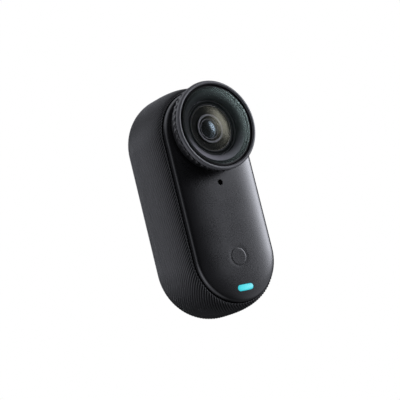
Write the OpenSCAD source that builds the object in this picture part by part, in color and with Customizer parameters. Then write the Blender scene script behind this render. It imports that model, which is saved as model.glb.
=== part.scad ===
// Pill-shaped wearable action camera, modelled standing up: +Z up along the body, the lens looks
// along -Y, and the origin is at the centre of the flat magnetic back.
// Every sub-part is drawn lying on its back, with z as the depth in front of the back face and y
// along the body, and upright() then stands it up.

/* [Body] */
// Height of the body
body_h = 54.4; // [54:0.1:55]
// Width of the body
body_w = 25.6; // [25.4:0.1:25.8]
// Depth from the back face to the parting line with the front cover
parting_d = 18.2; // [18.1:0.05:18.3]
// Rise of the front cover in front of the parting line
cover_rise = 2.2; // [2.15:0.05:2.25]
// Overall depth, from the back face to the lip of the lens guard
overall_d = 24.8; // [24.75:0.05:24.9]

/* [Side shell] */
// Wall thickness of the side shell
shell_wall = 1.2; // [1.1:0.05:1.25]
// Depth over which the side shell draws in to the parting line
shoulder_d = 8; // [7.8:0.1:8.4]
// Radius of the rounded back edge
back_round = 7; // [6.9:0.05:7.1]
// Distance from the spine to the edge of the back opening
back_opening_r = 7.0; // [6.9:0.05:7]

/* [Front cover] */
// Distance from the spine to the front cover's edge
cover_r = 10.95; // [10.9:0.01:10.97]
// Wall thickness of the front cover
cover_wall = 1.1; // [1:0.05:1.2]
// How square the rounded edge of the front cover is
cover_power = 3.75; // [3.4:0.05:4]
// Height of the microphone hole above the middle
mic_y = 2.7; // [2.6:0.05:2.8]
// Height of the shutter button, from the middle
shutter_y = -15; // [-15.2:0.1:-14.8]
// Height of the status light, from the middle
light_y = -22.2; // [-22.3:0.05:-22.1]
// Length of the status light
light_w = 4.45; // [4.2:0.05:4.6]
// Height of the status light's window
light_h = 1.5; // [1.4:0.05:1.6]

/* [Lens] */
// Height of the lens axis above the middle
lens_y = 15.3; // [15.2:0.05:15.4]
// Radius of the lens guard's lip
guard_r = 10.7; // [10.6:0.05:10.8]
// Radius of the thread that the lens guard screws on
thread_r = 8.6; // [8.55:0.01:8.62]
// Number of grip scallops round the lens guard
scallops = 44; // [30:2:48]
// Radius of the lens barrel's front ring
barrel_r = 6.5; // [6.45:0.01:6.52]

/* [Buttons] */
// Radius of the shutter button
shutter_r = 2.05; // [2:0.01:2.1]
// Length of the power button
power_len = 6.4; // [6:0.1:6.6]

/* [Hidden] */
$fn = 96;

spine = (body_h - body_w) / 2;         // half length of the line that the outline is offset from
body_r = body_w / 2;
cover_top = parting_d + cover_rise;    // depth of the front cover's face
inside_top = cover_top - cover_wall;   // depth of the front cover's inner face
gap = 0.05;                            // running clearance between parts that slide or turn

// Shell
parting_r = 11.15;                     // outer edge of the side shell at the parting line
lip_r = 11.08;                         // inside of the side shell's front rim
inner_r = body_r - shell_wall;
ledge_d = 1.2;                         // thickness of the back plate and depth of the ledge it sits on
flange_r = 8.2;
flange_t = 0.65;

// Stack of depths inside the body; what hangs from the front is measured back from the parting line
magnet_d = [1.85, 3.35];
yoke_d = [3.35, 3.85];
battery_d = [4.4, 9.8];
web_d = [parting_d - 4.9, parting_d - 3.9];
board_d = [web_d[0] - 2.5, web_d[0] - 1.7];
rim_d = parting_d - 2.2;
skirt_d = parting_d - 1.6;
front_board_d = [parting_d - 1.5, parting_d - 0.9];
chamber_d = parting_d - 1.9;           // roof of the motor and of the speaker

// Screw bosses of the mid frame
boss_x = 8.7;
boss_ys = [6, -12];
boss_r = 1.4;

// Lens and guard, as depths in front of the front cover's face
lens_screw_r = 6.8;                    // distance of the barrel's screws from the lens axis
flange_top = -2.9;
flange_foot = -4.1;
barrel_top = 2.05;
collar_top = 1.5;
baffle_r = 6.75;                       // inner edge of the guard's black cone
guard_foot = 0.12;
guard_top = overall_d - cover_top;
glass_seat = guard_top - 0.85;
glass_r = 9.45;
glass_crown = 0.2;

// ---- shapes that repeat ----

module upright() { rotate([90, 0, 0]) children(); }

// Points of an ellipse's arc round (cx, cy)
function arc(cx, cy, rx, ry, from, to, steps = 12) =
    [for (i = [0:steps]) let (t = from + (to - from) * i / steps) [cx + rx * cos(t), cy + ry * sin(t)]];

// Edge of a domed cover: a squarish quarter ellipse from its rim up to the spine
function dome(r, base, rise, steps = 18) =
    [for (i = [0:steps]) let (t = 90 * i / steps)
        [r * pow(cos(t), 2 / cover_power), base + rise * pow(sin(t), 2 / cover_power)]];

function turned(points) = [for (i = [len(points) - 1:-1:0]) points[i]];

// A solid whose section, points of [distance from the spine, depth], runs round the pill's outline
module pill(points, half = spine) {
    for (side = [0, 1]) mirror([side, 0, 0])
        translate([0, half, 0]) rotate([90, 0, 0]) linear_extrude(2 * half) polygon(points);
    translate([0, half, 0]) rotate_extrude(angle = 180) polygon(points);
    translate([0, -half, 0]) rotate_extrude(angle = 180, start = 180) polygon(points);
}

// A flat pill-shaped plate between two depths
module slab(r, depths, half = spine) {
    pill([[0, depths[0]], [r, depths[0]], [r, depths[1]], [0, depths[1]]], half);
}

// A pill-shaped ring between two depths
module band(r_in, r_out, depths) {
    pill([[r_in, depths[0]], [r_out, depths[0]], [r_out, depths[1]], [r_in, depths[1]]]);
}

module disc(r, depths) { translate([0, 0, depths[0]]) cylinder(r = r, h = depths[1] - depths[0]); }

module tube(r_in, r_out, depths) {
    difference() {
        disc(r_out, depths);
        disc(r_in, [depths[0] - 1, depths[1] + 1]);
    }
}

// A block with its middle at [x, y] between two depths
module block(size, depths, at = [0, 0]) {
    translate([at[0] - size[0] / 2, at[1] - size[1] / 2, depths[0]])
        cube([size[0], size[1], depths[1] - depths[0]]);
}

module at_lens() { translate([0, lens_y, cover_top]) children(); }
module at_lens_screws() { for (a = [30, 150, 270]) rotate([0, 0, a]) translate([lens_screw_r, 0, 0]) children(); }
module at_bosses() { for (x = [-boss_x, boss_x], y = boss_ys) translate([x, y, 0]) children(); }

// A lens: a round edge between two depths with a crown in front and a hollow or crown behind
module lens(r, edge, crown, back = 0) {
    rotate_extrude() polygon(concat(
        [[0, edge[0] + back]],
        back == 0 ? [] : [for (i = [1:7]) let (x = r * i / 8) [x, edge[0] + back * (1 - pow(i / 8, 2))]],
        [[r, edge[0]], [r, edge[1]]],
        [for (i = [7:-1:1]) let (x = r * i / 8) [x, edge[1] + crown * (1 - pow(i / 8, 2))]],
        [[0, edge[1] + crown]]));
}

// A flat ribbon along the points of [across, depth], of a given thickness towards +across
module ribbon(points, thick) {
    polygon(concat(points, turned([for (p = points) [p[0] + thick, p[1] + thick]])));
}

// ---- shells and frame ----

shell_outside = concat(
    arc(parting_r, parting_d - shoulder_d, body_r - parting_r, shoulder_d, 90, 0, 14),
    arc(body_r - back_round, back_round, back_round, back_round, 0,
        -acos((back_opening_r - body_r + back_round) / back_round), 12));
shell_inside = concat(
    [[back_opening_r, ledge_d], [flange_r, ledge_d], [flange_r, ledge_d + flange_t]],
    arc(body_r - back_round, back_round, inner_r - body_r + back_round,
        inner_r - body_r + back_round, -62, 0, 10),
    [[inner_r, parting_d - 4.3], [lip_r, parting_d - 2.8], [lip_r, parting_d]]);

power_y = -1;
power_d = 8.6;
power_h = 2.2;

// A pill lying along the body on the right-hand side, seen from +X
module side_pill(length, height, x0, x1) {
    translate([x0, power_y, power_d]) rotate([0, 90, 0]) {
        for (s = [-1, 1]) translate([0, s * (length - height) / 2, 0])
            rotate([0, 0, s > 0 ? 0 : 180])
                rotate_extrude(angle = 180) square([height / 2, x1 - x0]);
        translate([-height / 2, -(length - height) / 2, 0]) cube([height, length - height, x1 - x0]);
    }
}

module side_shell() {
    color([0.1, 0.1, 0.11]) upright() difference() {
        union() {
            pill(concat(shell_outside, shell_inside));
            for (side = [0, 1], y = boss_ys) mirror([side, 0, 0]) translate([0, y, 0]) {
                translate([boss_x, 0, 0]) disc(boss_r, [back_round, web_d[0]]);
                block([inner_r + 0.4 - boss_x, 2], [back_round, web_d[0]],
                    [(inner_r + 0.4 + boss_x) / 2, 0]);
            }
        }
        at_bosses() disc(0.72, [web_d[0] - 4, web_d[0] + 1]);
        side_pill(power_len + 0.2, power_h + 0.2, inner_r - 1, body_r + 1);
        // Sound holes of the speaker and the second microphone, in the bottom end
        for (x = [-1.2, 0, 1.2]) translate([x + 2.5, -spine, 12]) rotate([90, 0, 0])
            cylinder(r = 0.35, h = 20, $fn = 24);
        translate([-4, -spine, 12]) rotate([90, 0, 0]) cylinder(r = 0.35, h = 20, $fn = 24);
    }
}

module front_cover() {
    color([0.16, 0.16, 0.17]) upright() difference() {
        union() {
            pill(concat(
                [[cover_r, skirt_d]], dome(cover_r, parting_d, cover_rise),
                turned(dome(cover_r - cover_wall, parting_d, inside_top - parting_d)),
                [[cover_r - cover_wall, skirt_d]]));
            at_lens() tube(7, 8.9, [-1.8, 0]);
            for (x = [-6, 6]) translate([x, -5, 0]) disc(1.1, [front_board_d[1], inside_top + 0.2]);
        }
        at_lens() disc(8, [-10, 10]);
        translate([0, mic_y, 0]) disc(0.62, [18, 30]);
        translate([0, shutter_y, 0]) disc(shutter_r + 0.1, [18, 30]);
        translate([0, shutter_y, 0]) disc(2.7, [cover_top - 0.06, 30]);
        translate([0, light_y, 0]) rotate([0, 0, 90])
            slab(light_h / 2, [18, 30], (light_w - light_h) / 2);
        for (x = [-6, 6]) translate([x, -5, 0]) disc(0.52, [10, front_board_d[1] + 1.6]);
    }
}

module back_plate() {
    color([0.13, 0.13, 0.14]) upright() difference() {
        pill([[0, 0], [back_opening_r - 0.25, 0], [back_opening_r - 0.1, 0.15],
            [back_opening_r - 0.1, ledge_d], [flange_r - 0.1, ledge_d], [flange_r - 0.1, 1.8], [0, 1.8]]);
        at_contacts() disc(0.75, [-1, 3]);
    }
}

module mid_frame() {
    color([0.62, 0.63, 0.65]) upright() difference() {
        union() {
            band(9.7, cover_r, [web_d[0], rim_d]);
            slab(9.75, web_d);
            // Seat that the lens barrel's flange is screwed to
            at_lens() disc(8, [web_d[0] - cover_top, flange_foot]);
            // Tab that holds the side switch board
            block([0.55, 10], [5.8, web_d[0] + 0.1], [8.27, power_y]);
        }
        at_lens() {
            disc(5.75, [-12, 0]);
            at_lens_screws() disc(0.3, [-5.7, 0]);
        }
        at_bosses() disc(0.76, [10, 20]);
        block([5.4, 0.8], [10, 20], [-3.5, 6.45]);
    }
}

module front_gasket() { color([0.05, 0.05, 0.05]) upright() band(9.9, 10.9, [rim_d, skirt_d]); }

// A small machine screw: head, shank and a blind cross slot
module screw(r, length, head_r, head_h, seat) {
    difference() {
        union() {
            disc(r, [seat - length, seat + 0.01]);
            disc(head_r, [seat, seat + head_h]);
        }
        for (a = [0, 90]) rotate([0, 0, a]) block([head_r * 1.2, head_r * 0.3],
            [seat + head_h * 0.45, seat + head_h + 1]);
    }
}

module frame_screws() {
    color([0.7, 0.7, 0.72]) upright() at_bosses() screw(0.7, 4.2, 1.0, 0.6, web_d[1]);
}

// ---- lens ----

module lens_collar() {
    color([0.12, 0.12, 0.13]) upright() at_lens() rotate_extrude() polygon([
        [barrel_r + 0.1, flange_top], [7.95, flange_top], [7.95, 0], [thread_r, 0],
        [thread_r, collar_top - 0.1], [thread_r - 0.1, collar_top], [barrel_r + 0.1, collar_top]]);
}

module lens_barrel() {
    color([0.1, 0.1, 0.1]) upright() at_lens() difference() {
        union() {
            disc(5.6, [-13.6, flange_foot]);
            disc(7.5, [flange_foot, flange_top]);
            disc(barrel_r, [flange_top, barrel_top]);
        }
        disc(3.6, [-14, -2]);
        disc(4.6, [-7, 0.4]);
        disc(5.6, [0.35, 3]);
        at_lens_screws() {
            disc(0.3, [-5, 0]);
            disc(0.5, [flange_top - 0.35, 0]);
        }
    }
}

module barrel_screws() {
    color([0.7, 0.7, 0.72]) upright() at_lens() at_lens_screws()
        screw(0.28, 2.2, 0.46, 0.3, flange_top - 0.35);
}

module front_lens() {
    color([0.2, 0.25, 0.25, 0.5]) upright() at_lens() lens(5.55, [1.35, 1.8], 0.6, 0.35);
}

// Black cone between the front lens and the second lens, with the second lens's seat
module lens_spacer() {
    color([0.06, 0.06, 0.06]) upright() at_lens() rotate_extrude() polygon([
        [2.95, 0.4], [5.55, 0.4], [5.55, 1.3], [3.5, 1], [3.42, 1.25], [2.97, 1.25], [2.95, 1.2]]);
}

module second_lens() {
    color([0.2, 0.25, 0.3, 0.5]) upright() at_lens() lens(2.9, [0.45, 0.8], 0.35);
}

module third_lens() {
    color([0.25, 0.3, 0.35, 0.5]) upright() at_lens() lens(2.2, [-0.7, -0.3], 0.5);
}

module aperture_ring() {
    color([0.05, 0.05, 0.05]) upright() at_lens() {
        tube(2.25, 4.55, [-0.8, 0.35]);
        tube(1.2, 4.55, [-1.7, -0.8]);
    }
}

module rear_lens() {
    color([0.25, 0.3, 0.35, 0.5]) upright() at_lens() lens(3.55, [-11.5, -7.5], 0.4, -0.4);
}

module sensor_holder() {
    color([0.2, 0.2, 0.2]) upright() at_lens() difference() {
        block([13, 13], [-15.9, -13.6]);
        block([9.2, 8], [-16, -14.7]);
        block([8.2, 7], [-15, -14.1]);
        disc(3.4, [-15, -13]);
    }
}

module ir_filter() { color([0.3, 0.5, 0.6, 0.6]) upright() at_lens() block([8, 6.8], [-14.5, -14.2]); }
module image_sensor() { color([0.15, 0.12, 0.2]) upright() at_lens() block([9, 7.6], [-15.9, -15.1]); }
module sensor_board() { color([0.05, 0.18, 0.12]) upright() at_lens() block([13, 13], [-16.5, -15.9]); }

// Ribbon from the sensor board's edge up past the battery to the main board's edge
module sensor_flex() {
    color([0.75, 0.45, 0.12]) upright() rotate([90, 0, 90]) translate([0, 0, -3]) linear_extrude(6)
        polygon([[8.78, 4], [7.9, 4], [7.55, 4.35], [7.55, 10.95], [7.2, 11.1], [6.02, 11.1],
            [6.02, 11.25], [7.25, 11.25], [7.7, 11], [7.7, 4.4], [7.95, 4.15], [8.78, 4.15]]);
}

// ---- lens guard, which unscrews ----

module guard_ring() {
    color([0.12, 0.12, 0.13]) upright() at_lens() difference() {
        rotate_extrude() polygon(concat(
            [[thread_r + gap, guard_foot + 0.48], [8.7, guard_foot + 0.48], [8.7, guard_foot + 0.5],
             [9.4, guard_foot + 0.5], [9.4, guard_foot], [9.75, guard_foot], [9.85, 1.2],
             [guard_r - 0.35, 1.95], [guard_r + 0.1, 2.2], [guard_r + 0.1, 2.95],
             [guard_r - 0.25, 3.05], [guard_r - 0.25, 3.3]],
            arc(guard_r - 0.6, guard_top - 0.6, 0.6, 0.6, -50, 90, 10),
            arc(glass_r + 0.25, guard_top - 0.2, 0.2, 0.2, 90, 180, 4),
            [[glass_r + 0.05, glass_seat], [8.85, glass_seat], [baffle_r, 2.3], [baffle_r, 2.15],
             [thread_r + gap, collar_top + 0.4]]));
        for (i = [0:scallops - 1]) rotate([0, 0, 360 * i / scallops])
            translate([guard_r + 0.36, 0, 2.1]) cylinder(r = 0.5, h = 0.9, $fn = 24);
    }
}

module guard_glass() {
    color([0.6, 0.7, 0.68, 0.3]) upright() at_lens()
        lens(glass_r, [glass_seat + 0.05, guard_top - 0.2], glass_crown, glass_crown * 0.9);
}

module glass_gasket() {
    color([0.02, 0.02, 0.02]) upright() at_lens() tube(8.85, glass_r, [glass_seat, glass_seat + 0.05]);
}

module guard_oring() {
    color([0.08, 0.08, 0.08]) upright() at_lens() translate([0, 0, guard_foot + 0.22])
        rotate_extrude() translate([9.05, 0]) circle(r = 0.28, $fn = 24);
}

// ---- shutter button, status light and microphone ----

module shutter_button() {
    color([0.17, 0.17, 0.18]) upright() translate([0, shutter_y, cover_top]) {
        disc(shutter_r, [-1.5, -0.02]);
        disc(2.6, [-1.7, -cover_wall - 0.05]);
        disc(0.8, [-2.25, -1.6]);
    }
}

module shutter_plunger() {
    color([0.85, 0.85, 0.85]) upright() translate([0, shutter_y, cover_top]) disc(0.6, [-2.7, -2.25]);
}

module shutter_switch() {
    color([0.75, 0.75, 0.77]) upright() translate([0, shutter_y, 0]) difference() {
        block([3.2, 3.2], [front_board_d[1], front_board_d[1] + 0.5]);
        disc(0.66, [front_board_d[1] + 0.08, 30]);
    }
}

module button_seal() {
    color([0.06, 0.06, 0.06]) upright() translate([0, shutter_y, 0])
        tube(2.75, 3.5, [inside_top - 0.8, inside_top - 0.03]);
}

module front_board() {
    color([0.04, 0.16, 0.11]) upright() difference() {
        union() {
            translate([0, -spine, 0]) rotate_extrude(angle = 180, start = 180)
                translate([0, front_board_d[0]]) square([9, front_board_d[1] - front_board_d[0]]);
            block([18, spine + 5.6], front_board_d, [0, (5.6 - spine) / 2]);
        }
        for (x = [-6, 6]) translate([x, -5, 0]) disc(0.6, [10, 20]);
    }
}

module front_board_screws() {
    color([0.7, 0.7, 0.72]) upright() for (x = [-6, 6]) translate([x, -5, 0])
        mirror([0, 0, 1]) screw(0.5, 2.0, 0.9, 0.4, -front_board_d[0]);
}

module front_flex() {
    color([0.75, 0.45, 0.12]) upright() rotate([90, 0, 90]) translate([0, 0, -6]) linear_extrude(5)
        polygon([[6.02, 11.35], [6.5, 11.35], [6.6, 11.5], [6.6, 16.9], [6.5, 17.05], [5.62, 17.05],
            [5.62, 16.9], [6.4, 16.9], [6.45, 16.8], [6.45, 11.6], [6.4, 11.5], [6.02, 11.5]]);
}

module light_guide() {
    color([0.1, 0.85, 0.9]) upright() translate([0, light_y, 0]) rotate([0, 0, 90])
        slab(light_h / 2 - 0.05, [front_board_d[1] + 0.55, cover_top - 0.24], (light_w - light_h) / 2);
}

module light_chips() {
    color([0.9, 0.85, 0.6]) upright() for (x = [-1, 1])
        block([1.2, 0.6], [front_board_d[1], front_board_d[1] + 0.5], [x, light_y]);
}

module microphone() {
    color([0.8, 0.75, 0.5]) upright() block([2.7, 3.4], [front_board_d[1], front_board_d[1] + 0.9], [0, mic_y]);
}

module mic_gasket() {
    color([0.08, 0.08, 0.08]) upright() translate([0, mic_y, 0]) 
        tube(0.65, 1.3, [front_board_d[1] + 0.9, inside_top - 0.1]);
}

module mic_mesh() {
    color([0.2, 0.2, 0.2]) upright() translate([0, mic_y, 0]) 
        disc(1.25, [inside_top - 0.1, inside_top - 0.01]);
}

// ---- boards and battery ----

module main_board() {
    color([0.03, 0.15, 0.1]) upright() block([14.4, 28], board_d, [0, -8]);
}

module processor() { color([0.1, 0.1, 0.11]) upright() block([9, 9], [board_d[1], board_d[1] + 0.9], [0, -3]); }
module memory_chip() { color([0.09, 0.09, 0.1]) upright() block([6, 8], [board_d[1], board_d[1] + 0.8], [0, -15.5]); }
module thermal_pad() { color([0.55, 0.6, 0.7]) upright() block([8, 8], [board_d[1] + 0.9, web_d[0]], [0, -3]); }

module shield_can() {
    color([0.78, 0.78, 0.8]) upright() difference() {
        block([12, 11.4], [board_d[1], board_d[1] + 1.3], [0, -15.5]);
        block([11.6, 11], [board_d[1] - 1, board_d[1] + 1.15], [0, -15.5]);
    }
}

module battery() {
    color([0.72, 0.73, 0.75]) upright() block([14, 29], battery_d, [0, -7.5]);
}

module battery_lead() {
    color([0.8, 0.2, 0.15]) upright() rotate([90, 0, 90]) translate([0, 0, 3.5]) linear_extrude(3)
        polygon([[7, 9], [7.35, 9], [7.45, 9.1], [7.45, 10.65], [7.35, 10.75], [5.2, 10.75],
            [5.2, 10.6], [7.25, 10.6], [7.3, 10.55], [7.3, 9.2], [7.2, 9.15], [7, 9.15]]);
}

module magnets() {
    color([0.6, 0.6, 0.62]) upright() for (y = [13, -15]) block([10, 10], magnet_d, [0, y]);
}

module magnet_yoke() { color([0.66, 0.67, 0.7]) upright() block([10, 38], yoke_d, [0, -1]); }

contact_y = -4;
module at_contacts() { for (i = [-2:2]) translate([2 * i, contact_y, 0]) children(); }

module contact_pins() {
    color([0.85, 0.68, 0.32]) upright() at_contacts() {
        disc(0.7, [0.08, 1.85]);
        disc(1.0 - 0.05, [1.85, 2.0]);
    }
}

module contact_board() {
    color([0.03, 0.15, 0.1]) upright() block([10.6, 4], [2.0, 2.6], [0, contact_y]);
}

// Ribbon from the contact board round the battery's side to the main board's edge
module charging_flex() {
    color([0.75, 0.45, 0.12]) upright() translate([0, contact_y + 1.5, 0]) rotate([90, 0, 0])
        linear_extrude(3) polygon([[-5.32, 2.2], [-7.2, 3.6], [-7.5, 4.1], [-7.5, 11.1], [-7.22, 11.3],
            [-7.22, 11.12], [-7.35, 11], [-7.35, 4.2], [-7.1, 3.75], [-5.32, 2.4]]);
}

// ---- power button on the right-hand side ----

module power_button() {
    color([0.13, 0.13, 0.14]) upright() {
        side_pill(power_len, power_h, inner_r - 0.3, body_r + 0.15);
        side_pill(power_len + 1.4, power_h + 1.2, inner_r - 0.65, inner_r - 0.1);
        translate([10.35, power_y, power_d]) rotate([0, 90, 0]) cylinder(r = 0.8, h = 0.7);
    }
}

module power_plunger() {
    color([0.85, 0.85, 0.85]) upright() translate([9.85, power_y, power_d]) rotate([0, 90, 0])
        cylinder(r = 0.6, h = 0.5);
}

module power_switch() {
    color([0.75, 0.75, 0.77]) upright() difference() {
        translate([9.2, power_y - 1.6, power_d - 1.6]) cube([0.8, 3.2, 3.2]);
        translate([9.5, power_y, power_d]) rotate([0, 90, 0]) cylinder(r = 0.66, h = 2);
    }
}

module side_switch_board() {
    color([0.03, 0.15, 0.1]) upright() translate([8.6, power_y - 4.5, power_d - 2.5]) cube([0.6, 9, 5]);
}

// ---- speaker, vibration motor and antenna ----

module speaker() {
    color([0.25, 0.25, 0.27]) upright() difference() {
        block([5, 6], [web_d[1], chamber_d], [3.5, -18.5]);
        block([3.8, 4.8], [chamber_d - 0.3, 18], [3.5, -18.5]);
    }
}

motor_at = [-4.2, -18.5];
module motor_can() {
    color([0.75, 0.76, 0.78]) upright() translate([motor_at[0], motor_at[1], 0]) difference() {
        disc(3, [web_d[1], chamber_d]);
        disc(2.75, [web_d[1] + 0.2, chamber_d - 0.2]);
    }
}

module motor_pin() {
    color([0.8, 0.8, 0.82]) upright() translate([motor_at[0], motor_at[1], 0])
        disc(0.35, [web_d[1] + 0.2, chamber_d - 0.2]);
}

// Half disc that turns off balance on the pin
module motor_rotor() {
    color([0.5, 0.45, 0.35]) upright() translate([motor_at[0], motor_at[1], 0]) difference() {
        union() {
            disc(0.9, [web_d[1] + 0.3, chamber_d - 0.3]);
            translate([0, 0, web_d[1] + 0.4]) rotate_extrude(angle = 180) square([2.6, 1.2]);
        }
        disc(0.39, [14, 18]);
    }
}

module antenna() {
    color([0.8, 0.55, 0.2]) upright() translate([0, -spine, 9])
        rotate_extrude(angle = 130, start = 205) translate([11.3, 0]) square([0.2, 2.6]);
}

side_shell();
front_cover();
back_plate();
mid_frame();
front_gasket();
frame_screws();
lens_collar();
lens_barrel();
front_lens();
lens_spacer();
second_lens();
third_lens();
aperture_ring();
rear_lens();
ir_filter();
sensor_holder();
image_sensor();
sensor_board();
sensor_flex();
barrel_screws();
guard_ring();
guard_glass();
glass_gasket();
guard_oring();
shutter_button();
shutter_plunger();
shutter_switch();
button_seal();
front_board();
front_board_screws();
front_flex();
light_guide();
light_chips();
microphone();
mic_gasket();
mic_mesh();
main_board();
processor();
memory_chip();
shield_can();
thermal_pad();
battery();
battery_lead();
magnets();
magnet_yoke();
contact_pins();
contact_board();
charging_flex();
power_button();
power_plunger();
power_switch();
side_switch_board();
speaker();
motor_can();
motor_rotor();
motor_pin();
antenna();
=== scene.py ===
import math

import bmesh
import bpy
from mathutils import Matrix, Vector


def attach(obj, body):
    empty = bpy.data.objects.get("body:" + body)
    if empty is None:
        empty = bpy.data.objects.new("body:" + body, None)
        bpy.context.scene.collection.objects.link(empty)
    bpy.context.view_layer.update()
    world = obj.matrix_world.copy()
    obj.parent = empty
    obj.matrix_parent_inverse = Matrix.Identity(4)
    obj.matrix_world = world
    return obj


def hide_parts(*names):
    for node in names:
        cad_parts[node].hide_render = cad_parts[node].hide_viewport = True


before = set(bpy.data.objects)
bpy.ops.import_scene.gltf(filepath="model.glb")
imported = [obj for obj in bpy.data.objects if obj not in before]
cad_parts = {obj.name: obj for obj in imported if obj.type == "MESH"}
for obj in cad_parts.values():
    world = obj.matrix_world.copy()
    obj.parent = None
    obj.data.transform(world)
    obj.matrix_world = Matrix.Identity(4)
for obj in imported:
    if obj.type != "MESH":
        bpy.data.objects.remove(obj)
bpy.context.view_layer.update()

MM = 0.001


# ---------------------------------------------------------------------------
# Side shell: one black nylon moulding that wraps the whole camera, open at the front and at the
# back. Fine raised ribs run round it at a slant, fade out at both rims and stop short of a smooth
# patch on the right, with a shallow hollow in it for the power button.
# ---------------------------------------------------------------------------

class Wire:
    """One value in a finish's shader, so that a finish reads as sums."""

    def __init__(self, tree, socket):
        self.tree = tree
        self.socket = socket

    def node(self, kind, settings=None, inputs=None, output=0):
        made = self.tree.nodes.new(kind)
        for key, value in (settings or {}).items():
            setattr(made, key, value)
        for key, value in (inputs or {}).items():
            if isinstance(value, Wire):
                self.tree.links.new(value.socket, made.inputs[key])
            elif value is not None:
                made.inputs[key].default_value = value
        return Wire(self.tree, made.outputs[output])

    def maths(self, operation, a, b=None):
        return self.node("ShaderNodeMath", {"operation": operation}, {0: a, 1: b})

    def __add__(self, other): return self.maths("ADD", self, other)
    def __radd__(self, other): return self.maths("ADD", other, self)
    def __sub__(self, other): return self.maths("SUBTRACT", self, other)
    def __rsub__(self, other): return self.maths("SUBTRACT", other, self)
    def __mul__(self, other): return self.maths("MULTIPLY", self, other)
    def __rmul__(self, other): return self.maths("MULTIPLY", other, self)
    def __truediv__(self, other): return self.maths("DIVIDE", self, other)
    def __pow__(self, other): return self.maths("POWER", self, other)

    def sine(self): return self.maths("SINE", self)

    def ramp(self, low, high):
        """0 below low, 1 above high, smooth between them."""
        return self.node("ShaderNodeMapRange", {"interpolation_type": "SMOOTHSTEP", "clamp": True},
                         {0: self, 1: low, 2: high, 3: 0.0, 4: 1.0})

    def tint(self, dark, light):
        """A colour between two, by this value; either may itself be a worked-out colour."""
        dark, light = [c if isinstance(c, Wire) else (*c, 1) for c in (dark, light)]
        return self.node("ShaderNodeMix", {"data_type": "RGBA"}, {0: self, 6: dark, 7: light}, 2)

    def part(self, axis):
        return self.node("ShaderNodeSeparateXYZ", None, {0: self}, axis)

    def grain(self, scale, detail=3.0, rough=0.55):
        """Even noise of a given number of grains per metre."""
        return self.node("ShaderNodeTexNoise", None,
                         {"Vector": self, "Scale": scale, "Detail": detail, "Roughness": rough}, 0)

    def bump(self, strength, depth):
        """A surface normal from this height, depth in metres."""
        return self.node("ShaderNodeBump", None,
                         {"Strength": strength, "Distance": depth, "Height": self}, 0)


def start_finish(name):
    """The place on the piece, from which a finish is worked out."""
    made = bpy.data.materials.new(name)
    made.use_nodes = True
    coordinates = made.node_tree.nodes.new("ShaderNodeTexCoord")
    place = Wire(made.node_tree, coordinates.outputs["Object"])
    place.material = made
    return place


def end_finish(place, values):
    """Sets and links the main shader's sockets, and gives the material."""
    shader = place.tree.nodes["Principled BSDF"]
    for key, value in values.items():
        if isinstance(value, Wire):
            place.tree.links.new(value.socket, shader.inputs[key])
        else:
            shader.inputs[key].default_value = value
    return place.material


def moulded(name, dark, light, rough, grain=5000, depth=0.00001, strength=0.35, **more):
    """Moulded or blasted surface: fine texture, faint clouds of colour and of gloss."""
    place = start_finish(name)
    clouds = place.grain(150, 2)
    fine = place.grain(grain, 3)
    return end_finish(place, {
        "Base Color": (0.6 * clouds + 0.4 * fine).tint(dark, light),
        "Roughness": rough + 0.08 * (clouds - 0.5) + 0.12 * (fine - 0.5),
        "Normal": fine.bump(strength, depth), **more})


def finish_piece(name, bm, material, body, replaced=(), crease=35, weld=1e-7):
    """Welds a piece's mesh, turns its faces outwards and hangs it on its body."""
    bmesh.ops.remove_doubles(bm, verts=bm.verts, dist=weld)
    bmesh.ops.dissolve_degenerate(bm, edges=bm.edges, dist=weld)
    bmesh.ops.recalc_face_normals(bm, faces=bm.faces)
    mesh = bpy.data.meshes.new(name)
    bm.to_mesh(mesh)
    bm.free()
    mesh.shade_smooth()
    mesh.set_sharp_from_angle(angle=math.radians(crease))
    mesh.materials.append(material)
    piece = bpy.data.objects.new(name, mesh)
    bpy.context.scene.collection.objects.link(piece)
    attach(piece, body)
    if replaced:
        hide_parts(*replaced)


SPINE = 14.4          # half length of the line that the outline is offset from
PARTING = 18.2        # depth of the parting line in front of the back face
BODY_R = 12.8
BEND_R = 12.4         # radius on which the ribs are spaced evenly round the ends
AROUND = 4 * SPINE + 2 * math.pi * BEND_R
RIBS = 162
RIB_H = 0.3
RIB_COLUMNS = 6       # steps of the mesh across one rib
RIB_LEAN = 17.9       # how far the ribs slip sideways from the front rim to the back
POWER_Z, POWER_D = -1.0, 8.6
POWER_HALF, POWER_R = 2.1, 1.1      # half length of the button's spine, and its end radius
HOLLOW = 0.6          # depth of the hollow for the power button, which is not cut right through


def arc(cx, cy, rx, ry, start, end, steps):
    angles = [math.radians(start + (end - start) * i / steps) for i in range(steps + 1)]
    return [(cx + rx * math.cos(a), cy + ry * math.sin(a)) for a in angles]


def round_outline(turn, r):
    """The point x, z on the pill's outline, turn 0 to 1 counter-clockwise from the right side."""
    side, end = 2 * SPINE, math.pi * BEND_R
    gone = (turn % 1.0) * AROUND
    if gone < side:
        return r, gone - SPINE
    gone -= side
    if gone < end:
        return r * math.cos(gone / BEND_R), SPINE + r * math.sin(gone / BEND_R)
    gone -= end
    if gone < side:
        return -r, SPINE - gone
    gone -= side
    return -r * math.cos(gone / BEND_R), -SPINE - r * math.sin(gone / BEND_R)


def ease(x):
    x = min(1.0, max(0.0, x))
    return x * x * (3 - 2 * x)


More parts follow.
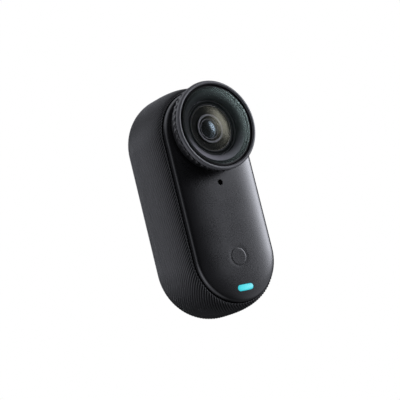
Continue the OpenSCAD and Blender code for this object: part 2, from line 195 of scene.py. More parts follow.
back_end = -math.degrees(math.acos((6.95 - 5.8) / 7.0))
outside = (
    [(11.1, 17.2), (11.1, 18.05)]
    + arc(11.19, 18.06, 0.1, 0.13, 150, 90, 2)
    + arc(11.15, 10.2, 1.65, 8.0, 85, 3, 21)
    + [(BODY_R, 10.5 - 0.14 * i) for i in range(25)]
    + arc(5.8, 7.0, 7.0, 7.0, 0, back_end, 24))
shell_section = outside + [(6.95, 1.2), (8.2, 1.2), (8.2, 1.9), (10.0, 3.4), (11.6, 7.0), (11.6, 13.9),
                           (11.1, 15.4)]
outer_end = len(outside) - 1
run = [0.0]
for (r0, d0), (r1, d1) in zip(shell_section, shell_section[1:]):
    run.append(run[-1] + math.hypot(r1 - r0, d1 - d0))
rows = len(shell_section)
rim = 3               # the ribs start at this row of the section

bm = bmesh.new()
bmesh.ops.create_grid(bm, x_segments=RIBS * RIB_COLUMNS, y_segments=rows, size=0.5)
for v in bm.verts:
    turn, row = v.co.x + 0.5, round((v.co.y + 0.5) * rows)
    k = row % rows
    r, d = shell_section[k]
    lean = (RIB_LEAN - d) if k <= outer_end else RIB_LEAN * (rows - row) / (rows - outer_end)
    leaned = turn + lean / AROUND
    x, z = round_outline(leaned, r)
    if rim <= k <= outer_end:
        (r0, d0), (r1, d1) = shell_section[k - 1], shell_section[k + 1]
        size = math.hypot(r1 - r0, d1 - d0)
        out_r, out_d = -(d1 - d0) / size, (r1 - r0) / size
        fade = ease((run[k] - run[rim]) / 0.45) * ease((run[outer_end - 1] - run[k]) / 1.6)
        across = (turn * RIBS) % 1.0
        valley = RIB_H * fade * (0.5 + 0.5 * math.cos(2 * math.pi * across)) ** 1.3
        if x > 0:
            beyond_end = max(0.0, abs(z - POWER_Z) - POWER_HALF)
            away = math.hypot(beyond_end, d - POWER_D) - POWER_R
            patch = 1 - ease((away - 0.85) / 0.45)
            valley = valley * (1 - patch) + 0.03 * patch
            valley += HOLLOW * (1 - ease((away - 0.14) / 0.24))
        r -= valley * out_r
        d -= valley * out_d
        x, z = round_outline(leaned, r)
    v.co = Vector((x, -d, z)) * MM

ribbed = start_finish("ribbed_nylon")
dust = ribbed.grain(420, 4)
fine = ribbed.grain(7000, 3)
ribbed = end_finish(ribbed, {
    "Base Color": (0.5 * dust + 0.5 * fine).tint((0.0085, 0.0085, 0.009), (0.017, 0.017, 0.0185)),
    "Roughness": 0.34 + 0.1 * (fine - 0.5) + 0.1 * (dust - 0.5),
    "Normal": fine.bump(0.3, 0.00001),
    "Specular IOR Level": 0.5})
finish_piece("ribbed_side_shell", bm, ribbed, "camera_body", ["side_shell"], crease=60,
             weld=2e-6)


# ---------------------------------------------------------------------------
# Back plate: a flat pill-shaped nylon plate, snapped into the side shell. Five gold charging pads
# lie in round wells in it, and the magnets sit behind it.
# ---------------------------------------------------------------------------

def sweep_pill(points, steps=48, runs=1):
    """A section, points of (distance from the spine, depth), taken round the pill's outline."""
    bm = bmesh.new()
    verts = [bm.verts.new(Vector((r, -d, -SPINE)) * MM) for r, d in points]
    edges = [bm.edges.new(pair) for pair in zip(verts, verts[1:])]
    for side in (1, -1):
        for _ in range(runs):
            grown = bmesh.ops.extrude_edge_only(bm, edges=edges)["geom"]
            verts = [g for g in grown if isinstance(g, bmesh.types.BMVert)]
            edges = [g for g in grown if isinstance(g, bmesh.types.BMEdge)]
            bmesh.ops.translate(bm, verts=verts, vec=Vector((0, 0, side * 2 * SPINE * MM / runs)))
        turned = bmesh.ops.spin(bm, geom=verts + edges, cent=(0, 0, side * SPINE * MM),
                                axis=(0, -1, 0), angle=math.pi, steps=steps)["geom_last"]
        verts = [g for g in turned if isinstance(g, bmesh.types.BMVert)]
        edges = [g for g in turned if isinstance(g, bmesh.types.BMEdge)]
    bmesh.ops.remove_doubles(bm, verts=bm.verts, dist=1e-7)
    return bm


def rod(r, low, high, x=0.0, z=0.0, steps=48, flare=0.0):
    """A round cutter or peg between two depths, optionally wider at its front end."""
    bm = bmesh.new()
    bmesh.ops.create_cone(bm, cap_ends=True, segments=steps, radius1=r * MM,
                          radius2=(r + flare) * MM, depth=(high - low) * MM)
    bmesh.ops.rotate(bm, verts=bm.verts, cent=(0, 0, 0), matrix=Matrix.Rotation(math.pi / 2, 3, "X"))
    bmesh.ops.translate(bm, verts=bm.verts, vec=Vector((x, -(low + high) / 2, z)) * MM)
    return bm


def cut(bm, cutters):
    """Takes closed cutters away from a closed mesh."""
    bmesh.ops.recalc_face_normals(bm, faces=bm.faces)
    whole = bpy.data.meshes.new("whole")
    bm.to_mesh(whole)
    bm.free()
    blank = bpy.data.objects.new("blank", whole)
    bpy.context.scene.collection.objects.link(blank)
    tools = []
    for cutter in cutters:
        bmesh.ops.recalc_face_normals(cutter, faces=cutter.faces)
        shape = bpy.data.meshes.new("cutter")
        cutter.to_mesh(shape)
        cutter.free()
        tool = bpy.data.objects.new("cutter", shape)
        bpy.context.scene.collection.objects.link(tool)
        step = blank.modifiers.new("cut", "BOOLEAN")
        step.operation, step.object, step.solver = "DIFFERENCE", tool, "EXACT"
        tools.append(tool)
    left = bpy.data.meshes.new_from_object(
        blank.evaluated_get(bpy.context.evaluated_depsgraph_get()))
    for tool in [*tools, blank]:
        bpy.data.objects.remove(tool)
    result = bmesh.new()
    result.from_mesh(left)
    return result


back = sweep_pill([(0, 0), (6.55, 0)] + arc(6.55, 0.25, 0.25, 0.25, -90, 0, 4)[1:]
                  + [(6.8, 1.2), (8.1, 1.2), (8.1, 1.8), (0, 1.8)])
PAD_Z = -4
PAD_XS = [-4, -2, 0, 2, 4]
back = cut(back, [rod(0.78, -0.5, 2.5, x, PAD_Z) for x in PAD_XS])
finish_piece("back_plate_piece", back,
             moulded("fine_nylon", (0.012, 0.012, 0.013), (0.022, 0.022, 0.024), 0.5),
             "camera_body", ["back_plate"])


def lathe(points, x=0.0, z=0.0, steps=96, closed=True, front=0.0):
    """A ring or round piece turned about a line along the depth; points are (radius, depth)."""
    bm = bmesh.new()
    verts = [bm.verts.new(Vector((x + r, -(front + d), z)) * MM) for r, d in points]
    pairs = list(zip(verts, verts[1:])) + ([(verts[-1], verts[0])] if closed else [])
    edges = [bm.edges.new(pair) for pair in pairs]
    bmesh.ops.spin(bm, geom=verts + edges, cent=Vector((x, 0, z)) * MM, axis=(0, -1, 0),
                   angle=2 * math.pi, steps=steps, use_merge=True)
    bmesh.ops.remove_doubles(bm, verts=bm.verts, dist=1e-7)
    return bm


def joined(parts):
    """Several closed meshes as one piece."""
    whole = bmesh.new()
    for part in parts:
        mesh = bpy.data.meshes.new("part")
        part.to_mesh(mesh)
        part.free()
        whole.from_mesh(mesh)
        bpy.data.meshes.remove(mesh)
    return whole


def metal(name, dark, light, rough, grain=2500, metallic=1.0, **more):
    """Metal with faint stains, fine scratches and uneven polish."""
    place = start_finish(name)
    stains = place.grain(260, 4)
    fine = place.grain(grain, 4, 0.7)
    return end_finish(place, {
        "Base Color": (0.55 * stains + 0.45 * fine).tint(dark, light),
        "Metallic": metallic,
        "Roughness": rough + 0.16 * (stains - 0.5) + 0.1 * (fine - 0.5),
        "Normal": fine.bump(0.15, 0.000006), **more})


pads = joined([lathe([(0, 0.1), (0.62, 0.08), (0.7, 0.14), (0.7, 1.85), (0.95, 1.85), (0.95, 2.0),
                      (0, 2.0)], x, PAD_Z, 32, closed=False) for x in PAD_XS])
gold = metal("gold_plate", (0.72, 0.48, 0.16), (0.95, 0.73, 0.36), 0.26)
finish_piece("charging_pads", pads, gold, "camera_body", ["contact_pins"])


# ---------------------------------------------------------------------------
# Front cover: a satin, slightly domed moulding let into the side shell with a hair gap all round.
# Holes go through it for the lens mount, the microphone, the shutter button and the status light.
# ---------------------------------------------------------------------------

COVER_R = 10.97
COVER_RISE = 2.2
FACE = PARTING + COVER_RISE         # depth of the cover's flat crest
SHUTTER_Z, LIGHT_Z, MIC_Z, LENS_Z = -15.0, -22.2, 2.7, 15.3
SQUARENESS = 2 / 3.75               # power that makes the dome's quarter round fuller than an ellipse


def dome(r, base, rise, steps):
    """Edge of the domed cover, from its rim up to the spine."""
    angles = [math.radians(90 * i / steps) for i in range(steps + 1)]
    return [(r * max(0.0, math.cos(a)) ** SQUARENESS, base + rise * math.sin(a) ** SQUARENESS)
            for a in angles]


def stretch(verts, axis, length):
    """Pulls the two halves of a circle apart by a length, which makes a pill of it."""
    for v in verts:
        if abs(v.co[axis]) > 1e-7:
            v.co[axis] += math.copysign(length / 2 * MM, v.co[axis])


def thicken(bm, along):
    """Draws the flat faces out into a solid, and gives the corners of its far side."""
    grown = bmesh.ops.extrude_face_region(bm, geom=bm.faces[:])["geom"]
    tops = [g for g in grown if isinstance(g, bmesh.types.BMVert)]
    bmesh.ops.translate(bm, verts=tops, vec=Vector(along) * MM)
    return tops


def slot_pill(length, height, low, high, z, flare=0.0):
    """A flat-sided pill lying across the body between two depths."""
    bm = bmesh.new()
    bmesh.ops.create_circle(bm, cap_ends=True, segments=32, radius=height / 2 * MM)
    bmesh.ops.rotate(bm, verts=bm.verts, cent=(0, 0, 0), matrix=Matrix.Rotation(math.pi / 2, 3, "X"))
    stretch(bm.verts, 0, length - height)
    bmesh.ops.translate(bm, verts=bm.verts, vec=Vector((0, -low, z)) * MM)
    tops = thicken(bm, (0, low - high, 0))
    if flare:
        middle = Vector((0, -high, z)) * MM
        for v in tops:
            v.co += (v.co - middle).normalized() * flare * MM
    return bm


INSIDE_R = 9.85
section = (dome(COVER_R, PARTING, COVER_RISE, 44)[::-1] + [(COVER_R, 16.7), (INSIDE_R, 16.7)]
           + dome(INSIDE_R, PARTING, 1.1, 12))
cover = sweep_pill(section, steps=72, runs=24)
cover = cut(cover, [
    rod(8.02, 10, 24, 0, LENS_Z, 96),
    rod(0.62, 18, 24, 0, MIC_Z, 40),
    rod(0.62, FACE - 0.1, FACE + 0.1, 0, MIC_Z, 40, flare=0.16),
    rod(2.085, 18, 24, 0, SHUTTER_Z, 64),
    rod(2.45, FACE - 0.014, FACE + 0.014, 0, SHUTTER_Z, 64, flare=0.5),
    slot_pill(4.45, 1.5, 18, 24, LIGHT_Z),
    slot_pill(4.45, 1.5, FACE - 0.06, FACE + 0.06, LIGHT_Z, 0.12)])
satin = moulded("satin_cover", (0.0075, 0.0075, 0.0082), (0.011, 0.011, 0.0122), 0.28, grain=6500,
                depth=0.000004, strength=0.25)
finish_piece("domed_front_cover", cover, satin, "camera_body", ["front_cover"], crease=38)


# ---------------------------------------------------------------------------
# Shutter button: a round satin cap with a hair gap round it, in a very shallow dish. It presses in
# against the small switch behind it.
# ---------------------------------------------------------------------------

cap = lathe([(0, 20.382), (1.2, 20.383), (1.75, 20.384)] + arc(2.02, 20.35, 0.03, 0.035, 90, 0, 3)
            + [(2.05, 18.9), (2.6, 18.88), (2.6, 18.7), (0.8, 18.7), (0.8, 18.15), (0, 18.15)],
            0, SHUTTER_Z, 96, closed=False)
finish_piece("shutter_cap", cap,
             moulded("satin_cap", (0.0095, 0.0095, 0.0102), (0.0135, 0.0135, 0.0146), 0.27, grain=6500,
                     depth=0.000004, strength=0.2),
             "shutter", ["shutter_button"])


# ---------------------------------------------------------------------------
# Status light: a clear light guide, lit from behind by two small chips, which fills the slot in the
# cover and glows blue-green. Microphone: a woven mesh disc behind its hole.
# ---------------------------------------------------------------------------

guide = slot_pill(4.35, 1.4, 17.85, FACE - 0.22, LIGHT_Z)
bmesh.ops.bevel(guide, geom=[e for e in guide.edges if all(v.co.y < -20 * MM for v in e.verts)],
                offset=0.12 * MM, segments=3, profile=0.5, affect="EDGES", material=-1)
glow = start_finish("lit_guide")
across, up = glow.part(0) / (2.2 * MM), (glow.part(2) - LIGHT_Z * MM) / (0.72 * MM)
edge = (across * across + up * up).ramp(0.1, 1.25)
haze = glow.grain(900, 2)
glow = end_finish(glow, {
    "Base Color": haze.tint((0.01, 0.06, 0.07), (0.01, 0.08, 0.09)),
    "Roughness": 0.3 + 0.1 * haze,
    "Emission Color": (edge * (0.9 + 0.1 * haze)).tint((0.085, 0.80, 0.88), (0.03, 0.60, 0.70)),
    "Emission Strength": 0.86})
finish_piece("glowing_light_guide", guide, glow, "camera_body", ["light_guide"])

weave = start_finish("woven_steel")
THREADS = 40000       # radians of the weave's wave per metre
threads = (weave.part(0) * THREADS).sine() * (weave.part(2) * THREADS).sine()
mesh_disc = lathe([(0, 19.28), (1.2, 19.28), (1.2, 19.2), (0, 19.2)], 0, MIC_Z, 48, closed=False)
weave = end_finish(weave, {
    "Base Color": (0.5 + 0.5 * threads).tint((0.004, 0.004, 0.004), (0.03, 0.03, 0.032)),
    "Metallic": 0.6, "Roughness": 0.5 + 0.1 * threads, "Normal": threads.bump(0.6, 0.00002)})
finish_piece("microphone_mesh", mesh_disc, weave, "camera_body", ["mic_mesh"])


# ---------------------------------------------------------------------------
# Lens mount: a black collar with a screw thread, screwed down over the lens barrel. The barrel
# stands through it and ends in a black ring that holds the front lens; its two beads are painted a
# light grey that stands in for light caught on them.
# ---------------------------------------------------------------------------

anodised = metal("black_anodised", (0.018, 0.018, 0.019), (0.032, 0.032, 0.034), 0.36, metallic=0.25)

COLLAR_R = 8.42
THREAD_PITCH, THREAD_H = 0.75, 0.17
collar = lathe([(6.6, -2.9), (7.95, -2.9), (7.95, 0), (COLLAR_R, 0)]
               + [(COLLAR_R, 0.1 + 1.3 * i / 16) for i in range(17)]
               + [(COLLAR_R, 1.44), (8.3, 1.5), (6.6, 1.5)], 0, LENS_Z, 144, front=FACE)
for v in collar.verts:
    out = Vector((v.co.x, 0, v.co.z - LENS_Z * MM))
    height = -v.co.y / MM - FACE
    if out.length > (COLLAR_R - 0.02) * MM and 0.05 < height < 1.42:
        turn = math.atan2(out.z, out.x) / (2 * math.pi)
        wave = abs(((height / THREAD_PITCH - turn) % 1.0) - 0.5) * 2
        v.co += out.normalized() * THREAD_H * ease(1.6 * wave - 0.3) * MM
finish_piece("threaded_lens_collar", collar, anodised, "camera_body", ["lens_collar"],
             crease=30)

matt_black = moulded("matt_black", (0.003, 0.003, 0.0032), (0.006, 0.006, 0.0065), 0.6, grain=4000,
                     **{"Specular IOR Level": 0.02})


def lens_radius(place):
    """Distance from the lens's axis, in millimetres."""
    x, z = place.part(0), place.part(2) - LENS_Z * MM
    return (x * x + z * z) ** 0.5 * 1000.0


def banded(name, bands, light=0.05):
    """Matt black turned part whose beads, between pairs of radii, are painted a satin grey: painted
    light that stands in for light caught on the beads.
    """
    place = start_finish(name)
    clouds, fine = place.grain(300, 3), place.grain(5000, 3)
    radius = lens_radius(place)
    # Painted light: the grey tone on the beads stands in for light caught on them.
    painted_light_band = sum(radius.ramp(low - 0.03, low + 0.03) - radius.ramp(high - 0.03, high + 0.03)
               for low, high in bands)
    shade = 0.85 + 0.3 * clouds
    return end_finish(place, {
        "Base Color": (painted_light_band * shade).tint((0.003, 0.003, 0.003), (light, light, 1.06 * light)),
        "Roughness": 0.6 - 0.16 * painted_light_band + 0.1 * (fine - 0.5), "Normal": fine.bump(0.15, 0.000005),
        "Specular IOR Level": 0.02})


barrel = lathe([(3.6, -13.6), (5.6, -13.6), (5.6, -4.1), (7.5, -4.1), (7.5, -2.9), (6.5, -2.9),
                (6.5, 1.75), (4.9, 0.35), (4.6, 0.35), (4.6, -7), (3.6, -7)], 0, LENS_Z, 96, front=FACE)
finish_piece("lens_barrel_body", barrel, matt_black, "camera_body", ["lens_barrel"])
front_ring = lathe([(5.58, 1.3), (6.5, 1.75)] + arc(6.43, 1.95, 0.07, 0.1, 0, 180, 6)
                   + [(6.34, 1.72), (5.86, 1.5)] + arc(5.68, 1.7, 0.08, 0.1, 0, 180, 6),
                   0, LENS_Z, 128, front=FACE)
finish_piece("barrel_front_ring", front_ring, banded("beaded_black", [(5.6, 5.78), (6.33, 6.51)]),
             "camera_body")


# ---------------------------------------------------------------------------
# Lenses: coated glass elements one behind the other in the barrel, the front one with a black
# painted edge. Between them are black rings whose beads are painted grey, as painted light caught on
# them, and show as grey circles round the pupil.
# ---------------------------------------------------------------------------

def coated(name, tint, least, most, rough=0.02, painted_from=None, faint_to=None):
    """Clear coated glass: it shows what is behind it and mirrors its surroundings in its tint, the
    least when looked at squarely and the most at a glance. Radii: black paint starts at one, and
    the mirror is faint inside the other."""
    place = start_finish(name)
    smudge = place.grain(120, 2)
    glance = place.node("ShaderNodeLayerWeight", None, {"Blend": 0.5}, 1)
    mirror = least + (most - least) * glance ** 5
    mirror = mirror * (0.92 + 0.16 * smudge)
    radius = lens_radius(place)
    if faint_to:
        mirror = mirror * (0.12 + 0.88 * radius.ramp(faint_to - 1, faint_to + 2))
    if not painted_from:
        return end_finish(place, {
            "Base Color": smudge.tint(tint, tuple(0.94 * c for c in tint)), "Metallic": 1.0,
            "Roughness": rough + 0.03 * smudge, "Alpha": mirror})
    paint = radius.ramp(painted_from - 0.04, painted_from + 0.04)
    return end_finish(place, {
        "Base Color": paint.tint(tint, (0.004, 0.004, 0.004)), "Metallic": 1 - paint,
        "Roughness": rough + 0.03 * smudge + 0.1 * paint,
        "Alpha": mirror * (1 - paint) + paint})


def glass_disc(r, back, edge, front, hollow):
    """Half section of a lens: back edge, front edge, front rise and rear hollow."""
    steps = [i / 16 for i in range(17)]
    rear = [(r * t, back + hollow * (1 - t ** 2)) for t in steps]
    face = [(r * t, edge + front * (1 - t ** 2)) for t in reversed(steps)]
    return rear + face


warm = coated("warm_coating", (0.80, 0.77, 0.58), 0.0115, 0.4, rough=0.22, painted_from=5.35)
finish_piece("front_lens_glass", lathe(glass_disc(5.55, 1.3, 1.62, 0.78, 0.78), 0, LENS_Z, 96,
                                       closed=False, front=FACE),
             warm, "camera_body", ["front_lens"])
spacer = lathe([(2.95, 0.4), (5.55, 0.4), (5.55, 1.2), (3.6, 0.86), (3.5, 1.14)]
               + arc(3.24, 1.14, 0.22, 0.14, 0, 180, 6) + [(2.98, 1.1)], 0, LENS_Z, 96, front=FACE)
finish_piece("lens_spacer_ring", spacer, banded("spacer_black", [(3.0, 3.48)], 0.2), "camera_body",
             ["lens_spacer"])
cool = coated("cool_coating", (0.66, 0.84, 0.95), 0.045, 0.6, rough=0.21)
finish_piece("second_lens_glass", lathe(glass_disc(2.3, 0.45, 0.62, 0.5, 0.4), 0, LENS_Z, 64,
                                        closed=False, front=FACE),
             cool, "camera_body", ["second_lens"])
holder = lathe([(2.3, 0.42), (2.93, 0.42), (2.93, 0.6), (2.46, 0.66)]
               + arc(2.36, 0.76, 0.09, 0.1, 0, 180, 6) + [(2.27, 0.6)], 0, LENS_Z, 96, front=FACE)
finish_piece("second_lens_holder", holder, banded("holder_black", [(2.2, 2.46)], 0.2),
             "camera_body")
finish_piece("third_lens_glass", lathe(glass_disc(2.2, -0.7, -0.4, 0.75, 0.0), 0, LENS_Z, 64,
                                       closed=False, front=FACE),
             coated("blue_coating", (0.55, 0.78, 0.92), 0.35, 0.8, rough=0.05), "camera_body",
             ["third_lens"])
stop = lathe([(1.2, -0.82), (2.25, -0.8), (2.25, 0.25), (4.5, 0.35), (4.5, -1.7), (1.2, -1.7)],
             0, LENS_Z, 64, front=FACE)
finish_piece("aperture_stop", stop, matt_black, "camera_body", ["aperture_ring"])


# ---------------------------------------------------------------------------
# Lens guard: a ring that unscrews. It has a rounded lip, a dark groove, a notched grip and a black
# cone inside, with painted light on the cone's lower part; its coated glass is glued into the lip with
# a black border, over a thin gasket.
# ---------------------------------------------------------------------------

NOTCHES = 44
NOTCH_STEPS = 8       # steps of the mesh from one notch to the next
NOTCH_DEPTH = 0.22
GRIP_R = 10.8
guard = lathe(
    [(8.65, 0.6), (8.7, 0.62), (9.4, 0.62), (9.4, 0.16), (9.44, 0.12), (9.75, 0.12), (9.8, 0.5),
     (9.85, 1.2), (10.2, 1.7), (10.46, 1.84), (10.58, 1.9), (10.64, 2.0), (10.64, 2.3), (10.64, 2.6),
     (10.64, 2.86), (10.6, 2.93), (10.52, 2.96), (10.1, 2.98), (10.0, 3.02), (10.0, 3.2)]
    + arc(10.2, 3.8, 0.5, 0.6, -56, 90, 15) + arc(10.14, 3.84, 0.38, 0.56, 90, 180, 9)
    + [(9.74, 3.6), (9.5, 3.55), (8.85, 3.55), (8.6, 3.42), (6.8, 2.34), (6.75, 2.3), (6.75, 2.18),
       (8.65, 1.9)],
    0, LENS_Z, NOTCHES * NOTCH_STEPS, front=FACE)
for v in guard.verts:
    out = Vector((v.co.x, 0, v.co.z - LENS_Z * MM))
    height = -v.co.y / MM - FACE
    if out.length > 10.4 * MM and 1.75 < height < 2.97:
        turn = math.atan2(out.z, out.x) / (2 * math.pi) * NOTCHES
        along = abs((turn % 1.0) - 0.5) * 2 * math.pi * GRIP_R / NOTCHES
        v.co -= out.normalized() * NOTCH_DEPTH * ease(1.35 - along / 0.5) * MM
guard_finish = start_finish("satin_guard")
clouds, fine = guard_finish.grain(200, 3), guard_finish.grain(6000, 3)
height = guard_finish.part(1) * -1000.0 - FACE
on_lip = height.ramp(3.2, 3.45) * lens_radius(guard_finish).ramp(9.78, 9.84)
tone = 0.5 * clouds + 0.5 * fine
guard_finish = end_finish(guard_finish, {
    "Base Color": on_lip.tint(tone.tint((0.010, 0.010, 0.0105), (0.016, 0.016, 0.017)),
                              tone.tint((0.062, 0.062, 0.066), (0.08, 0.08, 0.085))),
    "Roughness": 0.36 + 0.14 * on_lip + 0.1 * (fine - 0.5) + 0.08 * (clouds - 0.5),
    "Normal": fine.bump(0.2, 0.000005)})
finish_piece("lens_guard_ring", guard, guard_finish, "lens_guard", ["guard_ring"],
             crease=32)

baffle = start_finish("black_with_painted_light")
clouds, fine = baffle.grain(260, 3), baffle.grain(5000, 3)
radius = lens_radius(baffle)
below_axis = (LENS_Z * MM - baffle.part(2)) * 1000.0
# Painted light: below the lens axis, between radii 6 and 8.2, the cone is painted a lighter lilac grey
# that stands in for light falling on it; outside radius 8.2 it stays near black.
painted_light_amount = below_axis.ramp(0.5, 7.5) * radius.ramp(6.0, 7.8) * (0.85 + 0.3 * clouds)
painted_lit_black = painted_light_amount.tint((0.010, 0.010, 0.011), (0.17, 0.165, 0.182))
baffle = end_finish(baffle, {
    "Base Color": radius.ramp(8.2, 8.28).tint(painted_lit_black, (0.0015, 0.0015, 0.0016)),
    "Roughness": 0.6 + 0.1 * (fine - 0.5), "Normal": fine.bump(0.15, 0.000005),
    "Specular IOR Level": 0.02})
cone = lathe([(8.84, 3.54), (8.84, 3.56), (8.6, 3.46), (6.78, 2.38), (6.73, 2.3), (6.73, 2.2),
              (6.8, 2.3), (8.6, 3.38)], 0, LENS_Z, 144, front=FACE)
finish_piece("lens_guard_baffle", cone, baffle, "lens_guard")

clear = coated("green_coating", (0.68, 0.86, 0.79), 0.02, 0.6, rough=0.22, painted_from=9.1,
               faint_to=7.0)
# The glass is flattest in the middle and curves down to its edge, front and back alike.
dome_glass = ([(9.45 * i / 24, 3.6 + 0.3 * (1 - (i / 24) ** 3.2)) for i in range(25)]
              + [(9.7, 3.62), (9.7, 3.75), (9.6, 3.84), (9.4, 3.94), (9.2, 4.04), (9.1, 4.1)]
              + [(9.0 * i / 28, 4.15 + 0.24 * (1 - (i / 28) ** 3.2)) for i in range(28, -1, -1)])
finish_piece("lens_guard_glass", lathe(dome_glass, 0, LENS_Z, 144, closed=False, front=FACE),
             clear, "lens_guard", ["guard_glass"], crease=50)


# ---------------------------------------------------------------------------
# Power button: a pill-shaped nylon cap on the right side, in a smooth surround that stands just
# proud of the ribs and covers their ends.
# ---------------------------------------------------------------------------

ONTO_SIDE = Matrix.Rotation(math.pi / 2, 3, "Z") @ Matrix.Rotation(math.pi / 2, 3, "X")


def side_pill(bm, length, tall, filled):
    """The outline of a pill lying along Y."""
    loop = bmesh.ops.create_circle(bm, cap_ends=filled, segments=48, radius=tall / 2 * MM)["verts"]
    stretch(loop, 1, length - tall)


def side_solid(bm, low, high, rounding, segments):
    """Stands flat faces on the right side, from one distance to another, with soft outer edges."""
    tops = thicken(bm, (high - low, 0, 0))
    if rounding:
        edges = [e for e in bm.edges if all(v in tops for v in e.verts)
                 and len(e.link_faces) == 2 and e.calc_face_angle(0) > 1]
        bmesh.ops.bevel(bm, geom=edges, offset=rounding * MM, segments=segments, profile=0.5,
                        affect="EDGES", material=-1)
    bmesh.ops.translate(bm, verts=bm.verts, vec=Vector((low, -POWER_D, POWER_Z)) * MM)
    return bm


def side_ring(outer, inner, low, high, rounding):
    """A flat pill ring; outer and inner are (length, height)."""
    bm = bmesh.new()
    for length, tall in (outer, inner):
        side_pill(bm, length, tall, False)
    bmesh.ops.rotate(bm, verts=bm.verts, cent=(0, 0, 0), matrix=ONTO_SIDE)
    bmesh.ops.bridge_loops(bm, edges=bm.edges[:])
    return side_solid(bm, low, high, rounding, 3)


def side_cap(length, tall, low, high, rounding):
    """A solid pill."""
    bm = bmesh.new()
    side_pill(bm, length, tall, True)
    bmesh.ops.rotate(bm, verts=bm.verts, cent=(0, 0, 0), matrix=ONTO_SIDE)
    return side_solid(bm, low, high, rounding, 4)


finish_piece("power_button_surround", side_ring((7.7, 3.4), (6.62, 2.34), 12.2, 12.82, 0.07),
             moulded("smooth_nylon", (0.012, 0.012, 0.013), (0.02, 0.02, 0.0215), 0.42),
             "camera_body")
button = joined([side_cap(6.4, 2.2, 11.4, 12.94, 0.16), side_cap(7.8, 3.4, 10.95, 11.45, 0)])
finish_piece("power_button_cap", button,
             moulded("satin_button", (0.014, 0.014, 0.015), (0.022, 0.022, 0.0235), 0.36),
             "power", ["power_button"])


# ---------------------------------------------------------------------------
# Inside: the frame, boards, cell, magnets, screws, ribbons and seals that the shells hide. They keep
# their exact shapes and get the finishes of real parts.
# ---------------------------------------------------------------------------

def board_finish(name, dark, light):
    place = start_finish(name)
    tracks = place.node("ShaderNodeTexBrick", {"offset": 0.5},
                        {"Vector": place, "Scale": 900.0, "Color1": (0, 0, 0, 1),
                         "Color2": (1, 1, 1, 1), "Mortar": (0.5, 0.5, 0.5, 1),
                         "Mortar Size": 0.03}, 1)
    fine = place.grain(1500, 3)
    return end_finish(place, {
        "Base Color": (0.6 * tracks + 0.4 * fine).tint(dark, light),
        "Roughness": 0.3 + 0.15 * fine, "Normal": (tracks + 0.2 * fine).bump(0.3, 0.00002)})


steel = metal("plated_steel", (0.42, 0.42, 0.44), (0.66, 0.66, 0.68), 0.3)
rubber = moulded("soft_rubber", (0.003, 0.003, 0.003), (0.007, 0.007, 0.007), 0.75, grain=3000,
                 **{"Specular IOR Level": 0.1})
board = board_finish("green_board", (0.01, 0.07, 0.045), (0.03, 0.16, 0.10))
ribbon = moulded("amber_ribbon", (0.42, 0.16, 0.02), (0.6, 0.27, 0.05), 0.3, grain=1200)
chip = moulded("chip_black", (0.02, 0.02, 0.022), (0.04, 0.04, 0.043), 0.42, grain=5000)
nylon = moulded("natural_nylon", (0.6, 0.58, 0.52), (0.74, 0.72, 0.66), 0.4)
inner_finish = {
    metal("blasted_alloy", (0.40, 0.41, 0.42), (0.58, 0.59, 0.61), 0.42): ["mid_frame"],
    rubber: ["front_gasket", "button_seal", "mic_gasket", "guard_oring", "glass_gasket"],
    steel: ["frame_screws", "barrel_screws", "front_board_screws", "shield_can", "motor_can",
            "motor_pin", "magnet_yoke", "shutter_switch", "power_switch"],
    metal("nickel_plate", (0.55, 0.54, 0.52), (0.76, 0.75, 0.72), 0.22): ["magnets"],
    metal("sintered_alloy", (0.22, 0.19, 0.15), (0.36, 0.32, 0.26), 0.45): ["motor_rotor"],
    metal("copper_foil", (0.6, 0.27, 0.12), (0.85, 0.45, 0.25), 0.3): ["antenna"],
    ribbon: ["sensor_flex", "front_flex", "charging_flex"],
    moulded("red_sleeve", (0.35, 0.02, 0.015), (0.5, 0.04, 0.03), 0.4): ["battery_lead"],
    board: ["main_board", "front_board", "sensor_board", "contact_board", "side_switch_board"],
    chip: ["processor", "memory_chip", "image_sensor", "microphone", "sensor_holder", "speaker"],
    moulded("yellow_phosphor", (0.7, 0.55, 0.15), (0.9, 0.75, 0.3), 0.35): ["light_chips"],
    nylon: ["shutter_plunger", "power_plunger"],
    moulded("gap_filler", (0.28, 0.33, 0.45), (0.38, 0.44, 0.56), 0.75): ["thermal_pad"],
    metal("foil_pouch", (0.48, 0.49, 0.5), (0.68, 0.69, 0.7), 0.34): ["battery"],
    coated("plain_glass", (0.8, 0.85, 0.9), 0.12, 0.6): ["rear_lens"],
    coated("filter_coating", (0.45, 0.7, 0.8), 0.3, 0.7): ["ir_filter"],
}
for material, nodes in inner_finish.items():
    for node in nodes:
        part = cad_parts[node]
        part.data.materials.clear()
        part.data.materials.append(material)


# ---------------------------------------------------------------------------
# Studio: a pale floor well below, soft light all round that is strongest from the right and dark
# from the front, and the camera.
# ---------------------------------------------------------------------------

bm = bmesh.new()
FLOOR_R, FLOOR_Z = 0.6, -0.12
bmesh.ops.create_circle(bm, cap_ends=True, segments=96, radius=FLOOR_R)
bmesh.ops.translate(bm, verts=bm.verts, vec=(0, 0, FLOOR_Z))
floor_mesh = bpy.data.meshes.new("floor")
bm.to_mesh(floor_mesh)
bm.free()
floor = bpy.data.objects.new("floor", floor_mesh)
bpy.context.scene.collection.objects.link(floor)
paper = start_finish("pale_paper")
fibre = paper.grain(700, 4)
floor_mesh.materials.append(end_finish(paper, {
    "Base Color": fibre.tint((0.74, 0.74, 0.74), (0.8, 0.8, 0.8)), "Roughness": 0.8 + 0.1 * fibre}))
# The floor casts no light of its own back on the body: the panels below stand for it.
floor.visible_diffuse = False
floor.visible_glossy = False

world = bpy.data.worlds.new("studio")
bpy.context.scene.world = world
world.use_nodes = True
tree = world.node_tree
tree.nodes.clear()
where = Wire(tree, tree.nodes.new("ShaderNodeTexCoord").outputs["Generated"])


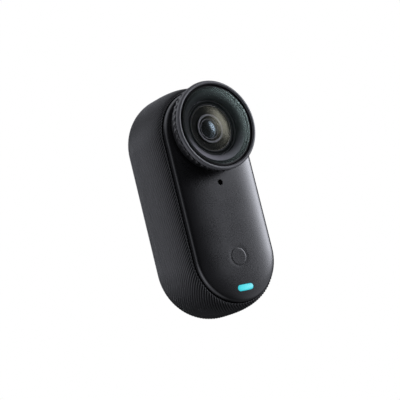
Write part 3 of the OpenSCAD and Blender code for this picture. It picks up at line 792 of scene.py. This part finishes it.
def panel(azimuth, elevation, inner, outer, strength):
    """A soft round light: azimuth 0 is the lens side, 90 the right; full within inner degrees."""
    a, e = math.radians(azimuth), math.radians(elevation)
    towards = (math.sin(a) * math.cos(e), -math.cos(a) * math.cos(e), math.sin(e))
    along = where.node("ShaderNodeVectorMath", {"operation": "DOT_PRODUCT"},
                       {0: where, 1: towards}, 1)
    return strength * along.ramp(math.cos(math.radians(outer)), math.cos(math.radians(inner)))


key = panel(63, 16, 2, 24, 12.6) + panel(62, -18, 4, 36, 1.0)
left = panel(-92, -20, 4, 38, 1.6) + panel(-100, -50, 5, 50, 1.0) + panel(-86, 36, 4, 38, 1.0)
back_light = panel(-150, 64, 5, 46, 1.4) + panel(-178, 9, 2, 28, 2.4)
fill = panel(0, -20, 4, 36, 0.15) + panel(80, -50, 5, 50, 0.2)
light = 0.02 + key + left + back_light + fill

# Seen directly, the room is a blank white wall; the panels show only in what they light.
out = tree.nodes.new("ShaderNodeOutputWorld")
seen = where.node("ShaderNodeLightPath")
colour = where.node("ShaderNodeBackground", None,
                    {"Color": (0.955, 0.975, 1.07, 1), "Strength": light})
blank_wall = where.node("ShaderNodeBackground", None, {"Color": (1, 1, 1, 1), "Strength": 1.0})
shown = where.node("ShaderNodeMixShader", None, {0: seen, 1: colour, 2: blank_wall})
tree.links.new(shown.socket, out.inputs["Surface"])

camera_data = bpy.data.cameras.new("camera")
camera_data.sensor_width = 36
camera_data.lens = 126.659
camera_data.clip_start, camera_data.clip_end = 0.01, 10
camera = bpy.data.objects.new("camera", camera_data)
bpy.context.scene.collection.objects.link(camera)
# The way the camera is turned: its right, its up and the direction behind it.
right = Vector((0.81344476, -0.53113291, -0.23707690))
up = Vector((0.12582641, -0.23725653, 0.96326375))
behind = -Vector((0.56786912, 0.81339238, 0.12616453))
turned = Matrix((right, up, behind)).transposed().to_4x4()
camera.matrix_world = Matrix.Translation((-0.18884876, -0.28117448, -0.04116570)) @ turned
bpy.context.scene.camera = camera
bpy.context.scene.view_settings.view_transform = "Standard"
